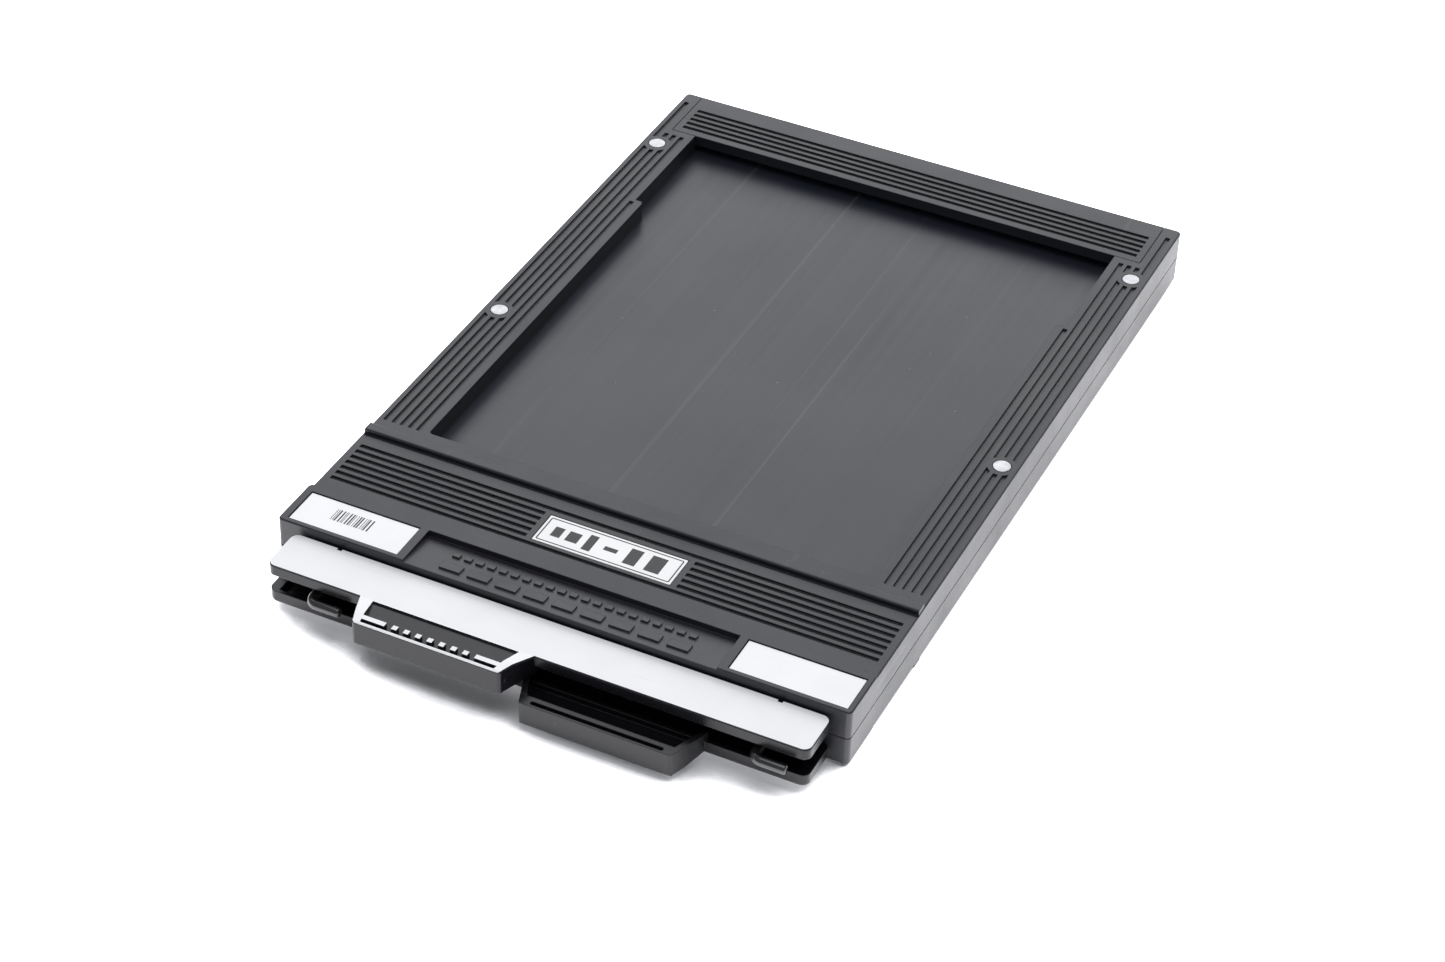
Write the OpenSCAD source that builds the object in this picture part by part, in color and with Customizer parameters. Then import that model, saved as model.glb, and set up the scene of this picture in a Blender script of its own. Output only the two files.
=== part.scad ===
// Double-sided cut film holder: a 4x5 inch holder body carrying 9x12 cm sheet film.
// Lies flat, +Z up, handle end towards -Y; the lower half is the upper half turned over about Y.

/* [Body] */
// width across the side rails
body_w = 119.9; // [110:0.1:130]
// length from the handle-end face to the far end
body_len = 176.6; // [165:0.1:190]
// thickness between the two seating faces
body_t = 12.1; // [10.8:0.1:14]
// radius of the four plan corners
corner_r = 1.0; // [0.6:0.1:3]
// chamfer round the outer edges
edge_chamfer = 0.25; // [0.15:0.05:0.4]
// length of the thicker block at the handle end
block_len = 12.2; // [11:0.1:16]
// how far the block stands above the seating face
block_rise = 0.3; // [0.1:0.05:0.8]
// how far the block stands out past the left side of the body
block_side = 0.6; // [0.2:0.05:1]

/* [Locating rib] */
// near face of the rib, from the handle-end face
rib_y = 31.4; // [30.5:0.1:33]
// rib width along the body
rib_w = 2.6; // [1.8:0.1:3.5]
// rib height above the seating face
rib_h = 0.9; // [0.6:0.05:1.2]
// width of the relief groove at the foot of the rib
rib_foot_w = 0.8; // [0.5:0.1:1.2]

/* [Frame opening] */
// near edge of the opening
opening_y = 37.1; // [36:0.1:40]
// clear width of the near part of the opening
opening_w = 96.8; // [90:0.1:100]
// clear width beside the loading flap
opening_far_w = 100.6; // [97:0.1:102]
// where the opening widens
opening_step_y = 131.2; // [120:0.1:145]

/* [Surface grooves] */
// width of every grip groove
groove_w = 1.0; // [0.6:0.05:1.2]
// depth of every grip groove
groove_depth = 0.45; // [0.2:0.05:0.6]
// spacing of the grip grooves
groove_pitch = 1.87; // [1.5:0.01:2]
// grooves in the field beside the size plate
field_grooves = 7; // [5:1:8]
// grooves along each side rail
rail_grooves = 5; // [3:1:5]
// grooves across the loading flap
flap_grooves = 5; // [3:1:6]

/* [Labels and plates] */
// size plate length across the body
plate_w = 29.4; // [20:0.1:36]
// size plate width along the body
plate_l = 8.0; // [6:0.1:9]
// name label length across the body
label_w = 23.7; // [18:0.1:25]
// name label width along the body
label_l = 8.6; // [7:0.1:9]
// depth of the label and plate recesses
label_recess = 0.4; // [0.25:0.05:0.6]
// label thickness
label_t = 0.2; // [0.1:0.05:0.25]
// width of the sloped grip panel between the labels
panel_w = 66; // [50:0.5:68]
// depth of the sloped panel at its far edge
panel_depth = 1.3; // [0.6:0.1:1.6]

/* [Film plane] */
// seating face to film plane
film_depth = 5.15; // [5:0.01:5.18]
// sheet film width
film_w = 89; // [85:0.5:92]
// height of the film channel under the guide lips
film_gap = 0.25; // [0.2:0.01:0.3]
// thickness of the guide lips
guide_lip_t = 0.2; // [0.15:0.01:0.25]
// how far the lips cover the film edge
guide_lip_w = 2.2; // [1.5:0.1:3]

/* [Dark slide] */
// blade thickness
blade_t = 0.6; // [0.5:0.05:0.8]
// blade width
blade_w = 104.6; // [102:0.1:106]
// how far the blade runs under the loading flap
blade_tip = 2.8; // [2:0.1:3]
// handle strip length across the body
strip_w = 113; // [100:0.1:116]
// reach of the handle strip from the body
strip_reach = 10.6; // [9:0.1:12]
// reach of the finger tab from the body
tab_reach = 18.6; // [17.4:0.1:22]
// finger tab width at its front edge
tab_w = 31.6; // [24:0.1:34]
// finger tab centre, measured from the middle of the body
tab_x = -17.5; // [-20:0.1:-16.5]

/* [Loading flap] */
// flap width between the side rails
flap_w = 111.9; // [108:0.1:113]
// flap length along the body
flap_len = 15.7; // [14:0.1:18]
// hinge pin diameter
pin_d = 1.4; // [1:0.1:1.8]
// rounding of the flap's lower far edge about the hinge axis
hinge_r = 1.5; // [1.3:0.1:2]

/* [Latches] */
// latch wire diameter
wire_d = 2.0; // [1.6:0.1:2.2]
// distance between the two latches
latch_span = 92.6; // [84:0.1:96]
// how far the latch legs stand in front of the body
latch_y = 12.4; // [12:0.1:14]
// latch leg length from the pivot axis
latch_leg = 6.9; // [5:0.1:7]

/* [Rivets] */
// rivet shank diameter
rivet_d = 2.4; // [2:0.1:3]
// rivet head diameter
rivet_head_d = 3.6; // [3:0.1:4.5]
// distance between the rivet rows
rivet_span = 113; // [111:0.1:114]
// near pair of rivets
rivet_near_y = 80.8; // [60:0.1:90]
// far pair of rivets
rivet_far_y = 154.1; // [148:0.1:156]

/* [Hidden] */
half_t = body_t/2;
block_t = half_t + block_rise;
total_len = body_len + tab_reach;
near_y = tab_reach - total_len/2;
mid_z = half_t + rib_h;
run_gap = 0.05;
seam = 0.15;
eps = 0.5;
film_z = half_t - film_depth;
guide_z = film_z + film_gap + guide_lip_t;
blade_z = guide_z + run_gap;
channel_z = blade_z + blade_t + run_gap;
channel_w = blade_w + 0.4;
septum_w = 108;
septum_y = 14;
septum_end = 0.4;
opening_corner = 0.8;
guide_near = opening_y - 1;
guide_side = film_w/2 + 0.25;
bay_w = flap_w + 2*seam;
bay_y = body_len - flap_len - seam;
blade_end = bay_y + blade_tip;
flap_y = bay_y + seam;
flap_bottom = film_z + 0.3;
flap_lip_t = 2.4;
flap_lip_end = blade_end + 0.4;
hinge_y = body_len - hinge_r;
hinge_z = flap_bottom + hinge_r;
pin_len = body_w - 2.6;
rail_x = body_w/2 - 1.75;
rail_near = opening_y - 0.3;
rail_end_mid = bay_y - 1.9;
rail_end_outer = body_len - 3.8;
pad_r = 3;
rib_foot_depth = 0.3;
rivet_head_t = 0.5;
rivet_sink = 0.35;
field_y = rib_y - 3.6;
field_half = body_w/2 - 1.7;
field_gap = 1.4;
flap_groove_y = flap_y + 1.75;
flap_groove_half = flap_w/2 - 1.5;
plate_y = field_y - 10.3;
label_margin = 1.3;
label_x = body_w/2 - label_margin - label_w;
recess_gap = 0.2;
panel_y = 10.2;
panel_front = 0.4;
grip_h = 0.35;
panel_slope = atan((panel_depth - panel_front)/panel_y);
trap_y = 3.6;
trap_l = 7;
trap_w = channel_w - 2;
felt_t = 0.8;
spring_t = 0.3;
strip_z = 1.95;
strip_top = half_t - 1.65;
strip_gap = 0.5;
strip_wall = 2.1;
skin = 0.8;
root_y = 4;
tongue = 2.9;
notch_w = 1;
notch_l = 0.5;
tab_z = 0.2;
tab_top = half_t - 0.65;
tab_flare = 3.1;
tab_root = 1;
tab_wall = 1;
tab_front = 2.5;
tab_lip = 0.55;
tab_slot_w = 0.9;
tab_slot_end = 2.2;
strip_corner = 1.6;
tab_ramp = tab_reach - 3.2;
tab_corner = 0.8;
facing_t = 0.3;
facing_inset = 0.1;
well_back = strip_reach + 0.3;
well_front = tab_reach - tab_lip;
well_floor = strip_top - 0.35;
well_side = 1.7;
well_flare = 1.4;
mark_pitch = 2.49;
mark_size = 1.1;
mark_y = well_front - tab_slot_w - mark_size/2;
dash_len = 4.6;
parting_step = 0.12;
wire_r = wire_d/2;
root_z = wire_r + seam;
bend_r = 1.8;
latch_in = 8;
neck_y = 4;
neck_l = 1.5;
neck_r = wire_r - 0.3;
$fn = 48;

// Both halves are drawn about the parting plane, with the handle-end face at y = 0.
module upper() {
  translate([0, near_y, mid_z]) children();
}

module lower() {
  upper() rotate([0, 180, 0]) children();
}

module both_sides() {
  children();
  mirror([1, 0, 0]) children();
}

// a box given by its low and high corners
module block(low, high) {
  translate(low) cube(high - low);
}

// a profile drawn in Y and Z, run along X over the given width
module along_x(width) {
  translate([-width/2, 0, 0]) rotate([90, 0, 90]) linear_extrude(width) children();
}

module rod_x(x0, x1, r) {
  translate([x0, 0, 0]) rotate([0, 90, 0]) cylinder(r = r, h = x1 - x0);
}

module rod_y(y0, y1, r) {
  translate([0, y0, 0]) rotate([-90, 0, 0]) cylinder(r = r, h = y1 - y0);
}

module plan(w, l, r) {
  translate([-w/2 + r, 0]) square([w - 2*r, l]);
  translate([-w/2, r]) square([w, l - 2*r]);
  for (x = [-w/2 + r, w/2 - r], y = [r, l - r]) translate([x, y]) circle(r);
}

// flat plate with rounded plan corners and a chamfer round its top edge
module chamfered_plate(w, l, t, r, c) {
  linear_extrude(t - c) plan(w, l, r);
  translate([0, 0, t - c]) {
    along_x(w - 2*r) polygon([[0, 0], [l, 0], [l - c, c], [c, c]]);
    translate([0, l - r, 0]) rotate([90, 0, 0]) linear_extrude(l - 2*r)
      polygon([[-w/2, 0], [w/2, 0], [w/2 - c, c], [-w/2 + c, c]]);
    for (x = [-w/2 + r, w/2 - r], y = [r, l - r])
      translate([x, y, 0]) cylinder(r1 = r, r2 = r - c, h = c);
  }
}

// ---- body shells ----

// the thin step at the parting plane shows as the seam between the halves;
// side is -1 or 1, for the side of this half where the block stands out
module shell_blank(side) {
  translate([0, parting_step, 0]) linear_extrude(parting_step)
    plan(body_w - 2*parting_step, body_len - 2*parting_step, corner_r - parting_step);
  translate([0, 0, parting_step]) {
    chamfered_plate(body_w, body_len, half_t - parting_step, corner_r, edge_chamfer);
    translate([side*block_side/2, 0, 0])
      chamfered_plate(body_w + block_side, block_len, block_t - parting_step, corner_r, edge_chamfer);
  }
}

module rib() {
  crest = rib_h/2;
  along_x(body_w - 0.4) {
    translate([rib_y, half_t - eps]) square([rib_w, crest + eps]);
    translate([rib_y + crest, half_t]) square([rib_w - 2*crest, rib_h]);
    for (y = [rib_y + crest, rib_y + rib_w - crest])
      translate([y, half_t + crest]) circle(crest);
  }
}

module rail_channels() {
  floor_z = half_t - groove_depth;
  ends = [rail_end_outer, rail_end_mid, rail_end_mid, rail_end_mid, opening_step_y - opening_corner];
  for (k = [0 : rail_grooves - 1]) {
    x = rail_x - k*groove_pitch;
    block([x - groove_w/2, rail_near, floor_z], [x + groove_w/2, ends[k], half_t + eps]);
  }
}

module field_channels() {
  floor_z = half_t - groove_depth;
  inner = plate_w/2 + field_gap;
  for (k = [0 : field_grooves - 1]) {
    y = field_y - k*groove_pitch;
    start = (k == 0 || k == field_grooves - 1) ? 0 : inner;
    both_sides()
      block([start - (start == 0 ? eps : 0), y - groove_w, floor_z], [field_half, y, half_t + eps]);
  }
}

module surface_grooves() {
  difference() {
    union() {
      both_sides() rail_channels();
      field_channels();
      block([-body_w/2, rib_y - rib_foot_w, half_t - rib_foot_depth], [body_w/2, rib_y, half_t + eps]);
    }
    both_sides() for (y = [rivet_near_y, rivet_far_y])
      translate([rivet_span/2, y, 0]) cylinder(r = pad_r, h = block_t + 1);
  }
}

module frame_opening() {
  corner = opening_corner;
  translate([0, opening_y, channel_z - eps]) linear_extrude(half_t)
    plan(opening_w, opening_step_y - opening_y + corner, corner);
  block([-opening_far_w/2, opening_step_y, channel_z - eps], [opening_far_w/2, bay_y + eps, block_t]);
  both_sides() translate([opening_w/2 - eps, opening_step_y - eps, channel_z - eps])
    cube([corner, eps + corner, half_t]);
}

module inner_cavity() {
  block([-septum_w/2, septum_y, -eps], [septum_w/2, body_len + 1, film_z]);
  block([-channel_w/2, guide_near - seam, 0], [channel_w/2, body_len + 1, channel_z]);
  block([-channel_w/2, -1, guide_z], [channel_w/2, opening_y, channel_z]);
  block([-trap_w/2, trap_y, channel_z - eps], [trap_w/2, trap_y + trap_l, channel_z + felt_t + spring_t]);
}

module flap_bay() {
  block([-bay_w/2, bay_y, film_z], [bay_w/2, body_len + 1, block_t]);
  translate([0, hinge_y, hinge_z]) rod_x(-pin_len/2, pin_len/2, pin_d/2);
}

module latch_bore() {
  rod_y(-1, neck_y, wire_r + run_gap);
  rod_y(neck_y - eps, neck_y + neck_l + eps, neck_r + run_gap);
  rod_y(neck_y + neck_l, latch_in + seam, wire_r + run_gap);
}

module rivet_bore() {
  translate([0, 0, -eps]) cylinder(r = rivet_d/2, h = block_t + 1);
  translate([0, 0, half_t - rivet_sink]) cylinder(r = rivet_head_d/2 + seam, h = 1);
}

module label_recesses() {
  floor_z = block_t - label_recess;
  both_sides()
    block([label_x - recess_gap, label_margin - recess_gap, floor_z],
          [label_x + label_w + recess_gap, label_margin + label_l + recess_gap, block_t + eps]);
  block([-plate_w/2 - recess_gap, plate_y - recess_gap, half_t - label_recess],
        [plate_w/2 + recess_gap, plate_y + plate_l + recess_gap, half_t + eps]);
}

// sloped panel between the labels, with two rows of raised grip bars
module sloped_panel() {
  translate([0, 0, block_t - panel_front]) rotate([-panel_slope, 0, 0])
    translate([-panel_w/2, -1, 0]) cube([panel_w, panel_y + 1, panel_depth + 1]);
}

module grip_bar(x, y, w, l) {
  translate([x - w/2, y - l/2, -eps]) cube([w, l, eps + grip_h]);
}

module grip_row(bars, pitch, y, w, l) {
  for (k = [-bars : bars]) grip_bar(pitch*k, y, w, l);
}

module grip_bars() {
  translate([0, 0, block_t - panel_front]) rotate([-panel_slope, 0, 0]) {
    grip_row(bars = 4, pitch = 6, y = 3, w = 4.4, l = 2.2);
    grip_row(bars = 10, pitch = 2.5, y = 6.9, w = 1.5, l = 1.2);
  }
}

module half_shell(side) {
  difference() {
    union() {
      shell_blank(side);
      rib();
    }
    inner_cavity();
    frame_opening();
    flap_bay();
    surface_grooves();
    label_recesses();
    sloped_panel();
    both_sides() {
      translate([latch_span/2, 0, 0]) latch_bore();
      for (y = [rivet_near_y, rivet_far_y]) translate([rivet_span/2, y, 0]) rivet_bore();
    }
  }
  grip_bars();
}

module upper_shell() {
  color("#2b2c2f") upper() half_shell(-1);
}

module lower_shell() {
  color("#2b2c2f") lower() half_shell(1);
}

// ---- between the shells ----

module septum() {
  color("#1d1e20") upper()
    block([-septum_w/2, septum_y, -film_z], [septum_w/2, body_len - septum_end, film_z]);
}

// L-shaped strip that holds one long edge of the film down on the septum
module film_guide() {
  guide_end = bay_y - 2*seam;
  block([guide_side, guide_near, film_z], [channel_w/2, guide_end, guide_z]);
  block([film_w/2 - guide_lip_w, guide_near, film_z + film_gap], [guide_side + eps, guide_end, guide_z]);
}

module upper_left_film_guide() {
  color("#35373a") upper() mirror([1, 0, 0]) film_guide();
}

module upper_right_film_guide() {
  color("#35373a") upper() film_guide();
}

module lower_left_film_guide() {
  color("#35373a") lower() film_guide();
}

module lower_right_film_guide() {
  color("#35373a") lower() mirror([1, 0, 0]) film_guide();
}

module trap_strip(z, t) {
  block([-trap_w/2, trap_y, z], [trap_w/2, trap_y + trap_l, z + t]);
}

module upper_trap_felt() {
  color("#151515") upper() trap_strip(channel_z, felt_t);
}

module lower_trap_felt() {
  color("#151515") lower() trap_strip(channel_z, felt_t);
}

module upper_trap_spring() {
  color("#a8a9a6") upper() trap_strip(channel_z + felt_t, spring_t);
}

module lower_trap_spring() {
  color("#a8a9a6") lower() trap_strip(channel_z + felt_t, spring_t);
}

module rivet() {
  cylinder(r = rivet_d/2, h = 2*(half_t - rivet_sink), center = true);
  for (z = [-1, 1]) translate([0, 0, z*(half_t - rivet_sink + rivet_head_t/2)])
    cylinder(r = rivet_head_d/2, h = rivet_head_t, center = true);
}

module assembly_rivets() {
  color("#e6e7ea") upper() both_sides() for (y = [rivet_near_y, rivet_far_y])
    translate([rivet_span/2, y, 0]) rivet();
}

module hinge_pin() {
  translate([0, hinge_y, hinge_z]) rod_x(-pin_len/2, pin_len/2, pin_d/2);
}

module upper_hinge_pin() {
  color("#9fa1a4") upper() hinge_pin();
}

module lower_hinge_pin() {
  color("#9fa1a4") lower() hinge_pin();
}

// ---- labels and size plates ----

module label() {
  floor_z = block_t - label_recess;
  block([label_x, label_margin, floor_z], [label_x + label_w, label_margin + label_l, floor_z + label_t]);
}

module upper_left_label() {
  color("#f2f2f0") upper() mirror([1, 0, 0]) label();
}

module upper_right_label() {
  color("#f2f2f0") upper() label();
}

module lower_left_label() {
  color("#f2f2f0") lower() label();
}

module lower_right_label() {
  color("#f2f2f0") lower() mirror([1, 0, 0]) label();
}

module size_plate() {
  floor_z = half_t - label_recess;
  block([-plate_w/2, plate_y, floor_z], [plate_w/2, plate_y + plate_l, half_t]);
}

module upper_size_plate() {
  color("#f4f4f2") upper() size_plate();
}

module lower_size_plate() {
  color("#f4f4f2") lower() size_plate();
}

// ---- dark slide ----

module blade() {
  translate([0, -strip_gap - tongue, blade_z]) linear_extrude(blade_t)
    plan(blade_w, blade_end + strip_gap + tongue, 1);
}

module upper_slide_blade() {
  color("#2d3034") upper() blade();
}

module lower_slide_blade() {
  color("#2d3034") lower() blade();
}

// plan of the finger tab; grow moves its sides and front outwards
module tab_plan(grow) {
  half = tab_w/2 + grow;
  front = -tab_reach - grow + tab_corner;
  translate([tab_x, 0]) {
    polygon([
      [-half, front], [half, front],
      [half + tab_flare, -strip_reach + tab_root], [-half - tab_flare, -strip_reach + tab_root]
    ]);
    translate([-half + tab_corner, front - tab_corner]) square([2*half - 2*tab_corner, tab_corner]);
    for (x = [-half + tab_corner, half - tab_corner]) translate([x, front]) circle(tab_corner);
  }
}

// side view of the facing over strip and tab; its front edge is bevelled away to nothing
module facing_profile() {
  front = -tab_reach + facing_inset;
  polygon([
    [-strip_gap, strip_top - facing_t], [-strip_gap, strip_top], [-strip_reach, strip_top],
    [-tab_ramp, tab_top], [front + facing_t, tab_top], [front, tab_top - facing_t],
    [-tab_ramp, tab_top - facing_t], [-strip_reach, strip_top - facing_t]
  ]);
}

module strip_plan(inset) {
  translate([0, -strip_reach + inset])
    plan(strip_w - 2*inset, strip_reach - strip_gap - inset, strip_corner);
}

module handle_outline(inset) {
  strip_plan(inset);
  tab_plan(-inset);
}

// solid handle before the well, hollows and blade slot are cut
module handle_blank() {
  intersection() {
    along_x(body_w) polygon([
      [-strip_gap, tab_z], [-strip_gap, strip_top - facing_t], [-strip_reach, strip_top - facing_t],
      [-tab_ramp, tab_top - facing_t], [-tab_reach - 1, tab_top - facing_t], [-tab_reach - 1, tab_z]
    ]);
    union() {
      linear_extrude(block_t) tab_plan(0);
      translate([0, 0, strip_z]) linear_extrude(block_t) strip_plan(0);
    }
  }
  block([-blade_w/2, -root_y, root_z], [blade_w/2, -strip_gap, strip_z + eps]);
}

module handle_hollow() {
  trough_half = strip_w/2 - strip_wall;
  trough_top = strip_top - facing_t - skin;
  block([-trough_half, -strip_reach + skin, 0], [trough_half, -root_y - run_gap, trough_top]);
}

// hollow inside the tab, with the strip's front wall left as a low rib behind it
module tab_hollow() {
  intersection() {
    linear_extrude(block_t) tab_plan(-tab_wall);
    union() {
      block([-body_w/2, -tab_reach + tab_front, 0], [body_w/2, -strip_reach, well_floor - skin]);
      block([-body_w/2, -tab_reach + tab_front, 0], [body_w/2, 0, strip_z]);
    }
  }
}

// long slot with round ends, right through the tab behind its front lip
module tab_slot() {
  slot_half = tab_w/2 - tab_slot_end - tab_slot_w/2;
  translate([tab_x, -well_front + tab_slot_w/2, 0]) linear_extrude(block_t) {
    square([2*slot_half, tab_slot_w], center = true);
    for (x = [-slot_half, slot_half]) translate([x, 0]) circle(tab_slot_w/2);
  }
}

// sloped-sided well in the outer face of the tab
module tab_well(depth) {
  half = tab_w/2 - well_side;
  translate([tab_x, 0, depth]) linear_extrude(block_t)
    polygon([
      [-half, -well_front], [half, -well_front],
      [half + well_flare, -well_back], [-half - well_flare, -well_back]
    ]);
}

module mark_plan() {
  for (k = [-3 : 3]) translate([tab_x + k*mark_pitch, -mark_y]) square(mark_size, center = true);
}

// tongues that run into the well from its two sides
module dash_plan() {
  translate([tab_x, -mark_y - mark_size/2]) both_sides()
    translate([tab_w/2 - well_side - dash_len, 0]) square([dash_len + 1, mark_size]);
}

module handle() {
  difference() {
    handle_blank();
    difference() {
      tab_well(well_floor);
      linear_extrude(tab_top - facing_t) mark_plan();
      linear_extrude(block_t) dash_plan();
    }
    handle_hollow();
    tab_hollow();
    tab_slot();
    block([-blade_w/2, -strip_gap - tongue, blade_z], [blade_w/2, 0, blade_z + blade_t]);
    back_notches();
  }
}

// small sight notches in the back edge, over the two latches
module back_notches() {
  both_sides() block([latch_span/2 - notch_w/2, -strip_gap - notch_l, strip_top - 2*notch_l],
                     [latch_span/2 + notch_w/2, 0, block_t]);
}

module upper_slide_handle() {
  color("#26272a") upper() handle();
}

module lower_slide_handle() {
  color("#26272a") lower() handle();
}

module facing() {
  difference() {
    intersection() {
      along_x(body_w) facing_profile();
      linear_extrude(block_t) handle_outline(facing_inset);
    }
    difference() {
      tab_well(0);
      linear_extrude(block_t) dash_plan();
    }
    tab_slot();
    back_notches();
  }
}

module upper_handle_facing() {
  color("#f3f4f6") upper() facing();
}

module lower_handle_facing() {
  color("#f3f4f6") lower() facing();
}

module marks() {
  translate([0, 0, tab_top - facing_t]) linear_extrude(facing_t) mark_plan();
}

module upper_tab_marks() {
  color("#f3f4f6") upper() marks();
}

module lower_tab_marks() {
  color("#f3f4f6") lower() marks();
}

// ---- loading flap ----

module flap_profile() {
  difference() {
    union() {
      polygon([
        [flap_y, half_t - flap_lip_t], [flap_lip_end, half_t - flap_lip_t], [flap_lip_end, flap_bottom],
        [hinge_y, flap_bottom], [hinge_y, hinge_z], [body_len, hinge_z],
        [body_len, half_t - edge_chamfer], [body_len - edge_chamfer, half_t], [flap_y, half_t]
      ]);
      translate([hinge_y, hinge_z]) circle(hinge_r);
    }
    translate([hinge_y, hinge_z]) circle(pin_d/2 + run_gap);
  }
}

module flap() {
  difference() {
    along_x(flap_w) flap_profile();
    for (k = [0 : flap_grooves - 1]) {
      y = flap_groove_y + k*groove_pitch;
      block([-flap_groove_half, y, half_t - groove_depth], [flap_groove_half, y + groove_w, half_t + eps]);
    }
  }
}

module upper_flap() {
  color("#2b2c2f") upper() flap();
}

module lower_flap() {
  color("#2b2c2f") lower() flap();
}

// ---- wire latches ----

module latch() {
  rod_y(-latch_y + bend_r, neck_y - run_gap, wire_r);
  rod_y(neck_y - eps, neck_y + neck_l + eps, neck_r);
  rod_y(neck_y + neck_l + run_gap, latch_in, wire_r);
  translate([bend_r, -latch_y + bend_r, 0]) rotate([0, 0, 180]) rotate_extrude(angle = 90)
    translate([bend_r, 0]) circle(wire_r);
  translate([0, -latch_y, 0]) rod_x(bend_r, latch_leg, wire_r);
}

module left_latch() {
  color("#202124") upper() translate([-latch_span/2, 0, 0]) latch();
}

module right_latch() {
  color("#202124") upper() translate([latch_span/2, 0, 0]) latch();
}

upper_shell();
lower_shell();
septum();
upper_left_film_guide();
upper_right_film_guide();
lower_left_film_guide();
lower_right_film_guide();
upper_trap_felt();
lower_trap_felt();
upper_trap_spring();
lower_trap_spring();
assembly_rivets();
upper_hinge_pin();
lower_hinge_pin();
upper_left_label();
upper_right_label();
lower_left_label();
lower_right_label();
upper_size_plate();
lower_size_plate();
upper_slide_blade();
upper_slide_handle();
upper_handle_facing();
upper_tab_marks();
lower_slide_blade();
lower_slide_handle();
lower_handle_facing();
lower_tab_marks();
upper_flap();
lower_flap();
left_latch();
right_latch();
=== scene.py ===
"""Looks of a double-sided cut film holder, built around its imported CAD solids.

Metres, +Z up, the slide handles towards -Y and the loading flaps towards +Y.
"""

import math

import bpy
from mathutils import Euler, Matrix, Vector


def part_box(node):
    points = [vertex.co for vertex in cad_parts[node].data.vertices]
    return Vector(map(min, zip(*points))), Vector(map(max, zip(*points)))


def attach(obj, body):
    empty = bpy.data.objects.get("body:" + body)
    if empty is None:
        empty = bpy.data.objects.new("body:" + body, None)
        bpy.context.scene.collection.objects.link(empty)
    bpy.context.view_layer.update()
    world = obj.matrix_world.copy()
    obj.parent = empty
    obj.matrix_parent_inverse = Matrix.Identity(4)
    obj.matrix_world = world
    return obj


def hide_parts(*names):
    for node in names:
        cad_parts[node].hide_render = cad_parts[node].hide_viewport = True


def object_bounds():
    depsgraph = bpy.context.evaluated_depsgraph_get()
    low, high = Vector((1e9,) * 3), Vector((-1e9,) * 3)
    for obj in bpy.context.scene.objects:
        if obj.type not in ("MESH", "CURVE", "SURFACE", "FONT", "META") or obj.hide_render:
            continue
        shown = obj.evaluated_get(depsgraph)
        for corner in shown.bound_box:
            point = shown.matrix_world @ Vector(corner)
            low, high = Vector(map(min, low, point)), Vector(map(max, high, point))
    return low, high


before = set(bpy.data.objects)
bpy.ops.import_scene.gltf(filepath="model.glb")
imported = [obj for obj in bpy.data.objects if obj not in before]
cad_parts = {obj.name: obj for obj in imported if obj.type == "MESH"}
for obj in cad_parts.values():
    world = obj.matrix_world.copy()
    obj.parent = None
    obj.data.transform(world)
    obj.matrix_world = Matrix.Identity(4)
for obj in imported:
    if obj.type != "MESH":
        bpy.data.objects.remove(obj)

cad_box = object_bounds()

# ---- Body shells and loading flaps ----
# The two body halves and the two loading flaps are moulded in one black plastic with a fine satin skin.
# Sliding in and out of a camera back has polished their edges and left hairline scratches along them.


def start_material(name):
    """A material, a function that adds a node to it, its bare shader, and the object's own coordinates."""
    material = bpy.data.materials.new(name)
    material.use_nodes = True
    tree = material.node_tree
    tree.nodes.clear()

    def add(kind, inputs=None, **settings):
        made = tree.nodes.new("ShaderNode" + kind)
        for key, value in settings.items():
            setattr(made, key, value)
        for socket, value in (inputs or {}).items():
            if isinstance(value, bpy.types.NodeSocket):
                tree.links.new(value, made.inputs[socket])
            else:
                made.inputs[socket].default_value = value
        return made

    shader = add("BsdfPrincipled")
    add("OutputMaterial", {"Surface": shader.outputs["BSDF"]})
    return material, add, shader, add("TexCoord").outputs["Object"]


def feed(shader, socket, pattern):
    """Lets a pattern drive one socket of the shader."""
    shader.id_data.links.new(pattern, shader.inputs[socket])


def relief(add, shader, pattern, strength, depth):
    """Turns a pattern into small bumps."""
    bump = add("Bump", {"Height": pattern, "Strength": strength, "Distance": depth})
    feed(shader, "Normal", bump.outputs[0])


def noise(add, place, scale, detail, roughness=0.5):
    made = add("TexNoise", {"Vector": place, "Scale": scale, "Detail": detail, "Roughness": roughness})
    return made.outputs["Fac"]


def stretched_noise(add, place, scale, turn=0.0, detail=2.0):
    """Noise drawn out along one axis: the small number in scale is the long way."""
    laid = add("Mapping", {"Vector": place, "Scale": scale, "Rotation": (0, 0, turn)})
    return noise(add, laid.outputs[0], 1.0, detail)


def ramp(add, value, low, high, to_low=0.0, to_high=1.0):
    made = add("MapRange", {
        "Value": value, "From Min": low, "From Max": high, "To Min": to_low, "To Max": to_high})
    return made.outputs["Result"]


def spread(add, pattern, to_low=0.0, to_high=1.0):
    """Spreads the middle of a noise, where nearly all of it lies, over the whole range."""
    return ramp(add, pattern, 0.3, 0.7, to_low, to_high)


def combine(add, a, b, operation="MULTIPLY"):
    return add("Math", {0: a, 1: b}, operation=operation).outputs[0]


def dust_specks(add, place, scale=240.0, size=0.03, share=0.62):
    """Small round specks, in only some of the cells."""
    cells = add("TexVoronoi", {"Vector": place, "Scale": scale, "Randomness": 1.0})
    dots = ramp(add, cells.outputs["Distance"], size, size * 0.6)
    patches = noise(add, place, scale * 0.31, detail=1.0)
    return combine(add, dots, ramp(add, patches, share, share + 0.02))


def rgba(colour, share=1.0):
    return tuple(share * c for c in colour) + (1,)


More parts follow.
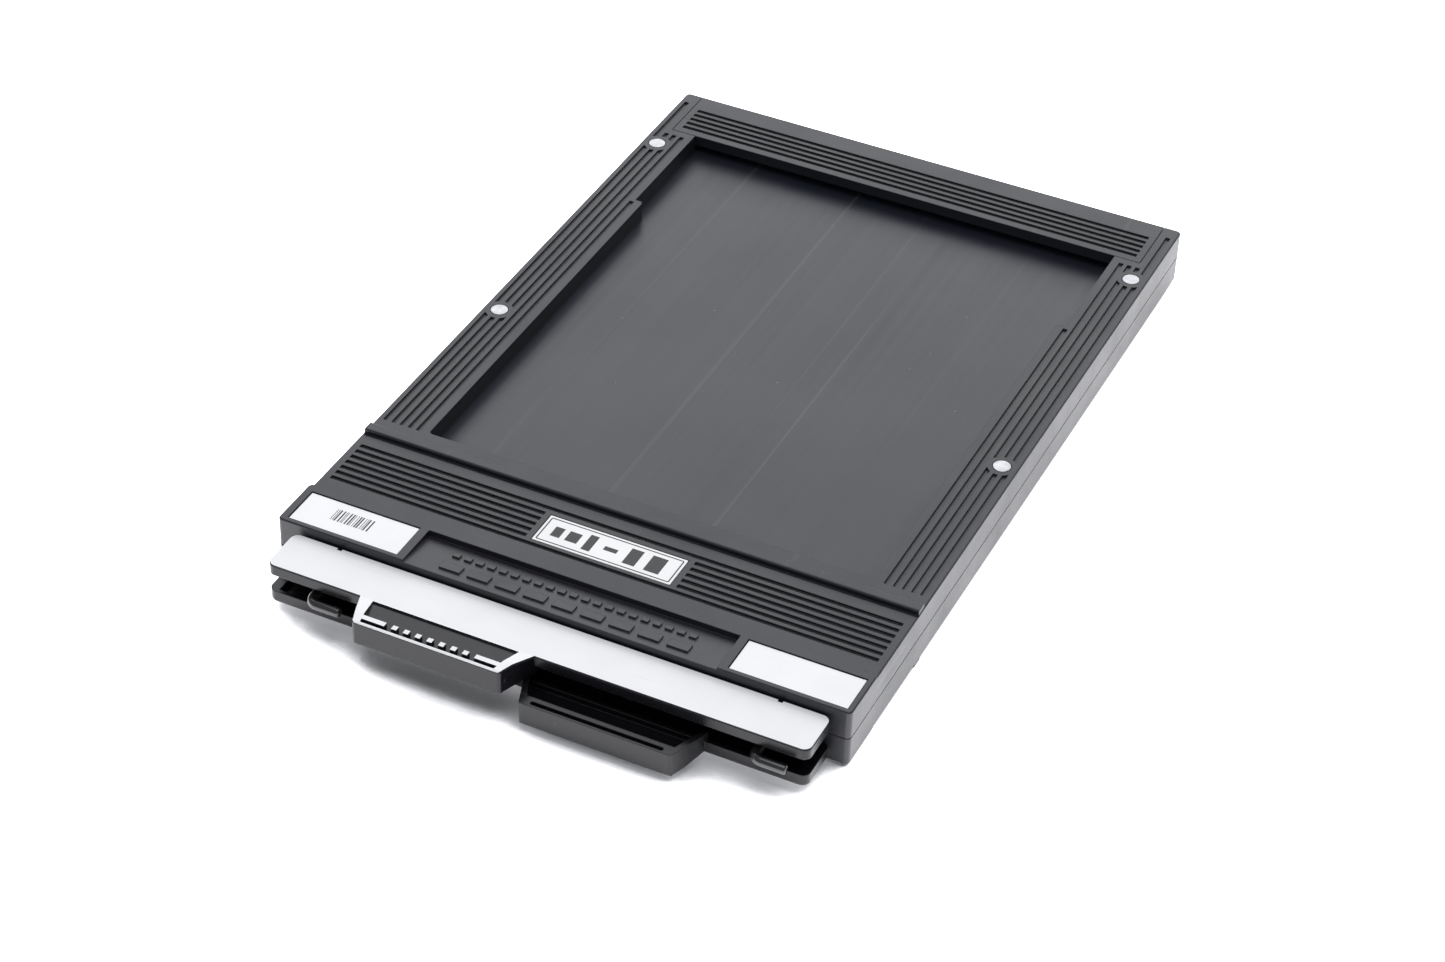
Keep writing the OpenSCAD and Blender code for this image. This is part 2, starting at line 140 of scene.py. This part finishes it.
def mix_colour(add, amount, low, high):
    made = add("Mix", {0: amount, 6: low, 7: high}, data_type="RGBA")
    return made.outputs[2]


def worn_plastic(name, colour, worn, rough, gloss, grain_scale, grain_depth, edge, scratch_scale,
                 scratch_turn=0.0):
    """Moulded black plastic: a fine grain, cloudy sheen, rounded polished edges, hairlines and dust."""
    material, add, shader, place = start_material(name)
    grain = noise(add, place, grain_scale, detail=2.0)
    cloud = noise(add, place, 55.0, detail=5.0, roughness=0.62)
    hairs = ramp(add, stretched_noise(add, place, scratch_scale, scratch_turn), 0.66, 0.72)
    hairs = combine(add, hairs, ramp(add, noise(add, place, 38.0, detail=1.0), 0.5, 0.62))
    rounded = add("Bevel", {"Radius": edge}, samples=4).outputs[0]
    flat = add("NewGeometry").outputs["Normal"]
    facing = add("VectorMath", {0: rounded, 1: flat}, operation="DOT_PRODUCT").outputs["Value"]
    rim = combine(add, ramp(add, facing, 0.995, 0.86), spread(add, cloud, 0.35, 1.0))
    marks = combine(add, rim, combine(add, hairs, 0.5), "MAXIMUM")
    tone = mix_colour(add, spread(add, cloud), rgba(colour, 0.86), rgba(colour))
    tone = mix_colour(add, marks, tone, rgba(worn))
    tone = mix_colour(add, combine(add, dust_specks(add, place), 0.7), tone, (0.32, 0.32, 0.33, 1))
    feed(shader, "Base Color", tone)
    sheen = combine(add, spread(add, cloud, *rough), combine(add, marks, -0.1), "ADD")
    feed(shader, "Roughness", sheen)
    shader.inputs["Specular IOR Level"].default_value = gloss
    bump = add("Bump", {"Height": grain, "Strength": 0.35, "Distance": grain_depth, "Normal": rounded})
    feed(shader, "Normal", bump.outputs[0])
    return material


def finish_node(name, material):
    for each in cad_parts[name].material_slots:
        each.material = material


shell_black = worn_plastic(
    "shell_black", colour=(0.0125, 0.013, 0.0172), worn=(0.036, 0.036, 0.04), rough=(0.36, 0.46),
    gloss=0.5, grain_scale=2600.0, grain_depth=0.00003, edge=0.00022, scratch_scale=(420.0, 24.0, 420.0))
for name in ("upper_shell", "lower_shell", "upper_flap", "lower_flap"):
    finish_node(name, shell_black)

# ---- Septum and film guides ----
# The septum is the black sheet that parts the two film chambers, and the guides hold the film to it.
# Both are matt, so that no light is thrown back through the film.


def matt_sheet(name, colour, rough):
    material, add, shader, place = start_material(name)
    cloud = noise(add, place, 30.0, detail=4.0)
    rubbed = ramp(add, stretched_noise(add, place, (160.0, 9.0, 160.0)), 0.55, 0.75)
    tone = mix_colour(add, spread(add, cloud), rgba(colour, 0.8), rgba(colour))
    tone = mix_colour(add, combine(add, rubbed, 0.45), tone, rgba(colour, 2.2))
    feed(shader, "Base Color", tone)
    feed(shader, "Roughness", ramp(add, rubbed, 0.0, 1.0, rough, rough - 0.15))
    relief(add, shader, noise(add, place, 1800.0, detail=3.0), strength=0.4, depth=0.00004)
    return material


finish_node("septum", matt_sheet("septum_black", (0.012, 0.0122, 0.013), 0.72))
guide_black = matt_sheet("guide_black", (0.03, 0.031, 0.033), 0.6)
for half in ("upper", "lower"):
    for hand in ("left", "right"):
        finish_node(f"{half}_{hand}_film_guide", guide_black)

# ---- Light traps ----
# Each slide runs past a strip of black pile felt that a flat spring strip presses onto it.
# The felt is short upright pile on a woven back; the spring is plain rolled steel.


def pile_felt():
    material, add, shader, place = start_material("trap_pile")
    pile = noise(add, place, 5200.0, detail=3.0, roughness=0.7)
    tufts = add("TexVoronoi", {"Vector": place, "Scale": 2600.0}).outputs["Distance"]
    feed(shader, "Base Color", mix_colour(add, pile, (0.004, 0.004, 0.0045, 1), (0.02, 0.02, 0.021, 1)))
    feed(shader, "Roughness", ramp(add, pile, 0.0, 1.0, 0.85, 1.0))
    shader.inputs["Sheen Weight"].default_value = 0.35
    shader.inputs["Sheen Roughness"].default_value = 0.4
    relief(add, shader, tufts, strength=0.8, depth=0.00012)
    return material


def bare_metal(name, colour, rough, line_scale):
    """Bright metal with drawn or turned lines in it."""
    material, add, shader, place = start_material(name)
    lines = stretched_noise(add, place, line_scale, detail=3.0)
    cloud = ramp(add, noise(add, place, 420.0, detail=3.0), 0.35, 0.7)
    feed(shader, "Base Color", mix_colour(add, cloud, rgba(colour), rgba(colour, 0.82)))
    shader.inputs["Metallic"].default_value = 1.0
    feed(shader, "Roughness", spread(add, lines, rough - 0.06, rough + 0.08))
    relief(add, shader, lines, strength=0.3, depth=0.000008)
    return material


trap_pile = pile_felt()
spring_steel = bare_metal("spring_steel", (0.56, 0.56, 0.55), 0.3, (30.0, 2600.0, 2600.0))
for half in ("upper", "lower"):
    finish_node(f"{half}_trap_felt", trap_pile)
    finish_node(f"{half}_trap_spring", spring_steel)

# ---- Assembly rivets ----
# Four bright aluminium rivets clamp the halves together through flush pads in the side rails.
# Each has a low domed head at both ends, set by the press in a shallow round sinking.


def edit(piece):
    """Opens one piece in edit mode with nothing in it selected, ready for faces."""
    bpy.ops.object.select_all(action="DESELECT")
    piece.select_set(True)
    bpy.context.view_layer.objects.active = piece
    bpy.ops.object.mode_set(mode="EDIT")
    bpy.ops.mesh.select_mode(type="FACE")
    bpy.ops.mesh.select_all(action="DESELECT")


def pick_faces(piece, wanted):
    """Selects the faces for which wanted(centre, normal) is true. The piece is in edit mode."""
    bpy.ops.mesh.select_all(action="DESELECT")
    bpy.ops.object.mode_set(mode="OBJECT")
    for face in piece.data.polygons:
        face.select = wanted(face.center, face.normal)
    bpy.ops.object.mode_set(mode="EDIT")


def draw_out(move, share, centre):
    """Pulls the selected end on by one step, then widens or narrows it about its centre."""
    bpy.ops.mesh.extrude_region_move(TRANSFORM_OT_translate={"value": move})
    bpy.ops.transform.resize(value=share, center_override=centre)


def leave(piece):
    """Merges doubles, turns every face outwards, smooths and settles the piece at the origin."""
    bpy.ops.mesh.select_all(action="SELECT")
    bpy.ops.mesh.remove_doubles(threshold=0.000001)
    bpy.ops.mesh.normals_make_consistent(inside=False)
    bpy.ops.object.mode_set(mode="OBJECT")
    bpy.ops.object.transform_apply(location=True, rotation=True, scale=True)
    bpy.ops.object.shade_smooth_by_angle(angle=math.radians(40))
    return piece


def name_piece(piece, name, material, body):
    piece.name = piece.data.name = name
    piece.data.materials.clear()
    piece.data.materials.append(material)
    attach(piece, body)


def join(first, others):
    bpy.ops.object.select_all(action="DESELECT")
    for each in (first, *others):
        each.select_set(True)
    bpy.context.view_layer.objects.active = first
    bpy.ops.object.join()
    return first


rivet_low, rivet_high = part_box("assembly_rivets")
rivet_head_d = 0.0036
rivet_shank_d = 0.0024
rivet_head_t = 0.0005
rivet_dome = 0.00012
# each ring of the dome: how far it draws in, and its share of the dome's height
dome_rings = ((0.93, 0.45), (0.86, 0.2), (0.72, 0.16), (0.6, 0.11), (0.4, 0.08))
rivet_mid_z = (rivet_low.z + rivet_high.z) / 2
rivet_x = rivet_high.x - rivet_head_d / 2
rivet_rows = (rivet_low.y + rivet_head_d / 2, rivet_high.y - rivet_head_d / 2)
rivet_middle = (rivet_x, rivet_rows[0], rivet_mid_z)

bpy.ops.mesh.primitive_cylinder_add(
    vertices=40, radius=rivet_shank_d / 2, depth=rivet_high.z - rivet_low.z - 2 * rivet_head_t,
    location=rivet_middle)
rivet = bpy.context.object
bpy.ops.object.transform_apply(location=True)
edit(rivet)
for side in (1, -1):
    pick_faces(rivet, lambda centre, normal: normal.z * side > 0.9)
    flange = rivet_head_d / rivet_shank_d
    draw_out((0, 0, 0), (flange, flange, 1), rivet_middle)
    draw_out((0, 0, side * (rivet_head_t - rivet_dome)), (1, 1, 1), rivet_middle)
    for share, rise in dome_rings:
        draw_out((0, 0, side * rivet_dome * rise), (share, share, 1), rivet_middle)
leave(rivet)
rivets = []
for x in (rivet_x, -rivet_x):
    for y in rivet_rows:
        copy = rivet.copy()
        copy.data = rivet.data.copy()
        bpy.context.collection.objects.link(copy)
        copy.data.transform(Matrix.Translation((x - rivet_x, y - rivet_rows[0], 0)))
        rivets.append(copy)
bpy.data.objects.remove(rivet)
rivets = join(rivets[0], rivets[1:])
rivet_aluminium = bare_metal("rivet_aluminium", (0.5, 0.503, 0.515), 0.46, (900.0, 900.0, 60.0))
name_piece(rivets, "domed_rivets", rivet_aluminium, "holder")
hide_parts("assembly_rivets")

# ---- Hinge pins ----
# A ground steel pin runs through the far edge of each loading flap.
# The side rails hold it at both ends.

pin_steel = bare_metal("pin_steel", (0.6, 0.61, 0.62), 0.22, (40.0, 3000.0, 3000.0))
for half in ("upper", "lower"):
    finish_node(f"{half}_hinge_pin", pin_steel)

# ---- Name labels and size plates ----
# Two white foil labels are stuck into sinkings at the handle end of each side, one with a printed code.
# A white plate between the grip grooves carries the sheet size; here both prints are plain generic bars.


def printed_white(name, colour, rough, bare_sides=False):
    """White foil, print or paint with a little soil; bare_sides leaves the upright edges black."""
    material, add, shader, place = start_material(name)
    cloud = noise(add, place, 90.0, detail=4.0)
    soil = ramp(add, cloud, 0.4, 0.75, 0.0, 0.08)
    tone = mix_colour(add, soil, rgba(colour), (0.52, 0.52, 0.53, 1))
    scuffs = ramp(add, stretched_noise(add, place, (60.0, 900.0, 900.0), 0.12), 0.68, 0.74)
    tone = mix_colour(add, combine(add, scuffs, 0.08), tone, (0.4, 0.4, 0.42, 1))
    if bare_sides:
        up = add("SeparateXYZ", {0: add("NewGeometry").outputs["True Normal"]}).outputs["Z"]
        flat = ramp(add, add("Math", {0: up}, operation="ABSOLUTE").outputs[0], 0.3, 0.5)
        tone = mix_colour(add, flat, (0.008, 0.008, 0.01, 1), tone)
    feed(shader, "Base Color", tone)
    feed(shader, "Roughness", spread(add, cloud, rough, rough + 0.12))
    relief(add, shader, noise(add, place, 1500.0, detail=4.0), strength=0.2, depth=0.00001)
    return material


def print_black():
    material, add, shader, place = start_material("print_black")
    mottle = noise(add, place, 3000.0, detail=3.0)
    tone = mix_colour(add, mottle, (0.008, 0.008, 0.009, 1), (0.03, 0.03, 0.031, 1))
    feed(shader, "Base Color", tone)
    feed(shader, "Roughness", spread(add, mottle, 0.4, 0.6))
    relief(add, shader, mottle, strength=0.2, depth=0.000006)
    return material


label_foil = printed_white("label_foil", (0.9, 0.902, 0.903), rough=0.42)
plate_white = printed_white("plate_white", (0.875, 0.872, 0.864), rough=0.36)
ink = print_black()
for half in ("upper", "lower"):
    for hand in ("left", "right"):
        finish_node(f"{half}_{hand}_label", label_foil)
    finish_node(f"{half}_size_plate", plate_white)


def printed_bar(centre, size, outward):
    """A bar of ink with soft corners, on the face that points outward along Z."""
    bpy.ops.mesh.primitive_cube_add(size=1, location=centre, scale=size)
    bar = bpy.context.object
    bpy.ops.object.transform_apply(location=True, rotation=True, scale=True)
    edit(bar)
    pick_faces(bar, lambda middle, normal: normal.z * outward > 0.9)
    bpy.ops.mesh.inset(thickness=min(size[:2]) * 0.12)
    bpy.ops.transform.translate(value=(0, 0, outward * size[2] * 0.2))
    return leave(bar)


ink_t = 0.00003
ink_offset = 0.4 * ink_t
bar_count = 16
bar_l = 0.0034
bar_shift_x = 0.0048
bar_shift_y = 0.0006
thin_bar, bar_step = 0.00012, 0.00009
thin_gap, gap_step = 0.0002, 0.00012
border_w = 0.00028
border_inset = 0.0006
tall_l, short_l, dash_l = 0.0048, 0.0030, 0.0012
# each block on the size plate: its place along X, its width and its length
plate_blocks = (
    (0.0098, 0.0032, tall_l), (0.0050, 0.0026, tall_l), (0.0002, 0.0028, dash_l),
    (-0.0042, 0.0018, tall_l), (-0.0078, 0.0026, short_l), (-0.0112, 0.0020, short_l))
for half, outward, coded_hand in (("upper", 1, "left"), ("lower", -1, "right")):
    low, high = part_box(f"{half}_{coded_hand}_label")
    bar_z = (high.z if outward > 0 else low.z) + outward * ink_offset
    centre_y = (low.y + high.y) / 2 + bar_shift_y
    bars = []
    x = (low.x + high.x) / 2 - bar_shift_x
    for k in range(bar_count):
        wide = thin_bar + bar_step * ((k * k + 3 * k) % 4)
        x += wide / 2
        bars.append(printed_bar((x, centre_y, bar_z), (wide, bar_l, ink_t), outward))
        x += wide / 2 + thin_gap + gap_step * ((k * 5 + 1) % 3)
    bars = join(bars[0], bars[1:])
    name_piece(bars, f"{half}_label_bars", ink, "holder")

    low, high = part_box(f"{half}_size_plate")
    mark_z = (high.z if outward > 0 else low.z) - outward * ink_offset
    middle = (low + high) / 2
    border_x = high.x - low.x - 2 * border_inset
    border_y = high.y - low.y - 2 * border_inset
    layout = [(0, border_y / 2, border_x, border_w), (0, -border_y / 2, border_x, border_w)]
    layout += [(border_x / 2, 0, border_w, border_y), (-border_x / 2, 0, border_w, border_y)]
    layout += [(x, 0, w, l) for x, w, l in plate_blocks]
    marks = [printed_bar((middle.x + x, middle.y + y, mark_z), (w, l, ink_t), outward)
             for x, y, w, l in layout]
    marks = join(marks[0], marks[1:])
    name_piece(marks, f"{half}_plate_marks", ink, "holder")

# ---- Dark slide blades ----
# Each blade is a thin sheet of hard black plastic, bonded into its handle.
# The felts of the light trap have rubbed long faint lines into it.


def rubbed_blade():
    material, add, shader, place = start_material("blade_black")
    fine = stretched_noise(add, place, (1300.0, 9.0, 200.0), detail=3.0)
    broad = stretched_noise(add, place, (90.0, 2.2, 90.0), detail=4.0)
    streak = ramp(add, stretched_noise(add, place, (260.0, 2.0, 60.0)), 0.69, 0.735)
    streak = combine(add, streak, ramp(add, fine, 0.35, 0.6))
    cloud = noise(add, place, 26.0, detail=5.0, roughness=0.6)
    dust = dust_specks(add, place, scale=300.0, size=0.035, share=0.6)
    tone = mix_colour(add, spread(add, broad), (0.0098, 0.0116, 0.0185, 1), (0.0122, 0.014, 0.0215, 1))
    tone = mix_colour(add, combine(add, streak, 0.35), tone, (0.09, 0.086, 0.078, 1))
    tone = mix_colour(add, combine(add, dust, 0.75), tone, (0.4, 0.41, 0.42, 1))
    feed(shader, "Base Color", tone)
    sheen = combine(add, spread(add, cloud, 0.33, 0.41), spread(add, fine, -0.03, 0.03), "ADD")
    feed(shader, "Roughness", sheen)
    relief(add, shader, fine, strength=0.12, depth=0.00001)
    return material


blade_black = rubbed_blade()
for half in ("upper", "lower"):
    finish_node(f"{half}_slide_blade", blade_black)

# ---- Slide handles ----
# The handles are glossier black mouldings, open underneath, with a fingernail lip on the tab.
# Fingers have covered them in fine cross scratches.

handle_black = worn_plastic(
    "handle_black", colour=(0.0052, 0.0053, 0.007), worn=(0.034, 0.034, 0.038), rough=(0.2, 0.3),
    gloss=0.32, grain_scale=900.0, grain_depth=0.000012, edge=0.00025,
    scratch_scale=(26.0, 700.0, 500.0), scratch_turn=0.3)
for half in ("upper", "lower"):
    finish_node(f"{half}_slide_handle", handle_black)

# ---- White facings and tab marks ----
# The white side of a slide is a facing that is bonded over the strip and the rim of the tab.
# Square white studs on the tab let the fingers read the slide in the dark.

facing_white = printed_white("facing_white", (0.842, 0.844, 0.85), rough=0.34, bare_sides=True)
for half in ("upper", "lower"):
    finish_node(f"{half}_handle_facing", facing_white)
    finish_node(f"{half}_tab_marks", facing_white)

# ---- Wire latches ----
# Each latch is a bent steel wire in glossy black enamel that turns in a bore between the halves.
# It has a turned neck inside, one bend in front of the handles, and a leg with a rounded end.


def enamelled_wire():
    material, add, shader, place = start_material("latch_enamel")
    ripple = noise(add, place, 700.0, detail=3.0)
    chips = dust_specks(add, place, scale=900.0, size=0.12, share=0.6)
    tone = mix_colour(add, combine(add, chips, 0.8), (0.009, 0.009, 0.0095, 1), (0.2, 0.2, 0.2, 1))
    feed(shader, "Base Color", tone)
    feed(shader, "Roughness", spread(add, ripple, 0.12, 0.24))
    shader.inputs["Coat Weight"].default_value = 0.5
    shader.inputs["Coat Roughness"].default_value = 0.08
    relief(add, shader, ripple, strength=0.15, depth=0.00002)
    return material


latch_enamel = enamelled_wire()
bend_r = 0.0018
neck_inset = 0.0003
neck_from = 0.0041
neck_to = 0.0054
# as shares of the wire's radius: the narrowed inner end and its taper, the leg's tip and its rounding
end_share, end_taper = 0.7, 0.3
tip_share, tip_round = 0.55, 0.5
tip_steps = 4
body_face_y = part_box("upper_shell")[0].y
for hand in ("left", "right"):
    low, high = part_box(f"{hand}_latch")
    wire_r = (high.z - low.z) / 2
    axis_x = low.x + wire_r
    axis_z = (low.z + high.z) / 2
    leg_y = low.y + wire_r
    bpy.ops.mesh.primitive_circle_add(
        vertices=28, radius=wire_r * end_share, fill_type="NGON", location=(axis_x, high.y, axis_z),
        rotation=(math.pi / 2, 0, 0))
    latch = bpy.context.object
    bpy.ops.object.transform_apply(location=True, rotation=True)
    edit(latch)
    bpy.ops.mesh.select_all(action="SELECT")
    neck_share = 1 - neck_inset / wire_r
    shank = [
        (high.y, end_share), (high.y - end_taper * wire_r, 1.0),
        (body_face_y + neck_to, 1.0), (body_face_y + neck_to, neck_share),
        (body_face_y + neck_from, neck_share), (body_face_y + neck_from, 1.0),
        (leg_y + bend_r, 1.0),
    ]
    for (y_now, share_now), (y_to, share_to) in zip(shank, shank[1:]):
        share = share_to / share_now
        draw_out((0, y_to - y_now, 0), (share, 1, share), (axis_x, y_to, axis_z))
    bpy.ops.mesh.spin(
        steps=14, angle=-math.pi / 2, center=(axis_x + bend_r, leg_y + bend_r, axis_z), axis=(0, 0, 1))
    tip_x = high.x - tip_round * wire_r
    leg = [(axis_x + bend_r, 1.0), (tip_x, 1.0)]
    for k in range(1, tip_steps + 1):
        turned = k * math.pi / 2 / tip_steps
        leg.append((tip_x + tip_round * wire_r * math.sin(turned),
                    tip_share + (1 - tip_share) * math.cos(turned)))
    for (x_now, share_now), (x_to, share_to) in zip(leg, leg[1:]):
        share = share_to / share_now
        draw_out((x_to - x_now, 0, 0), (1, share, share), (x_to, leg_y, axis_z))
    leave(latch)
    name_piece(latch, f"{hand}_bent_latch", latch_enamel, f"{hand}_latch")
    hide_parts(f"{hand}_latch")

# ---- Floor, light and camera ----
# A plain white table under two large soft lamps, seen from the handle end with a long lens.
# The table's glow is painted: it emits light like a table lit from below, and close to the holder an
# occlusion mask dims it into a painted shadow that falls forward.

bpy.ops.mesh.primitive_plane_add(size=8, location=(0, 0, cad_box[0].z))
floor = bpy.context.object
floor.name = "floor"
bpy.ops.object.transform_apply(location=True)
table_painted_glow, add, shader, place = start_material("table_painted_glow")
paper = noise(add, place, 300.0, detail=2.0)
feed(shader, "Base Color", mix_colour(add, paper, (0.6, 0.6, 0.61, 1), (0.62, 0.62, 0.63, 1)))
shader.inputs["Roughness"].default_value = 0.9
# Painted glow: the table emits light of its own, though it is no lamp.
painted_glow_strength = 2.2
painted_shadow_reach = 0.02
towards_back = add("CombineXYZ", {0: 0.0, 1: 0.6, 2: 0.8}).outputs[0]
# Painted shadow: an occlusion mask, tilted towards the back, dims the glow close to the holder so that the
# shade falls forward.
painted_shadow_ao = add("AmbientOcclusion", {"Distance": painted_shadow_reach, "Normal": towards_back}, samples=16)
feed(shader, "Emission Strength", ramp(add, painted_shadow_ao.outputs["AO"], 0.34, 0.62, 0.0, painted_glow_strength))
shader.inputs["Emission Color"].default_value = (0.98, 0.98, 1.0, 1)
floor.data.materials.append(table_painted_glow)

world = bpy.data.worlds.new("studio")
world.use_nodes = True
world.node_tree.nodes["Background"].inputs["Color"].default_value = (0.94, 0.96, 1.0, 1)
world.node_tree.nodes["Background"].inputs["Strength"].default_value = 0.45
bpy.context.scene.world = world
bpy.context.scene.view_settings.view_transform = "Standard"


def soft_lamp(name, place, size, brightness):
    """A rectangular lamp aimed at the middle of the table, which the camera doesn't see."""
    data = bpy.data.lights.new(name, "AREA")
    data.shape = "RECTANGLE"
    data.size, data.size_y = size
    data.energy = brightness * math.pi * size[0] * size[1]
    data.color = (0.965, 0.975, 1.0)
    lamp = bpy.data.objects.new(name, data)
    bpy.context.collection.objects.link(lamp)
    lamp.location = place
    lamp.rotation_euler = (-Vector(place)).to_track_quat("-Z", "Y").to_euler()
    lamp.visible_camera = False


soft_lamp("back_box", place=(-0.4, 0.95, 0.78), size=(1.7, 1.2), brightness=1.9)
soft_lamp("overhead_box", place=(0.1, -0.1, 1.3), size=(1.0, 1.0), brightness=1.85)

camera_data = bpy.data.cameras.new("camera")
camera_data.sensor_width = 36.0
camera_data.lens = 83.42
camera_data.clip_start = 0.01
camera = bpy.data.objects.new("camera", camera_data)
bpy.context.collection.objects.link(camera)
around, above, roll = math.radians(24.428), math.radians(38.141), math.radians(2.196)
camera_distance = 0.67427
turn = Euler((0, 0, around)).to_matrix() @ Euler((math.pi / 2 - above, 0, 0)).to_matrix()
turn = turn @ Euler((0, 0, roll)).to_matrix()
looked_at = Vector((0.0034, -0.01437, 0.0009))
camera.rotation_euler = turn.to_euler()
camera.location = looked_at + turn @ Vector((0, 0, camera_distance))
bpy.context.scene.camera = camera
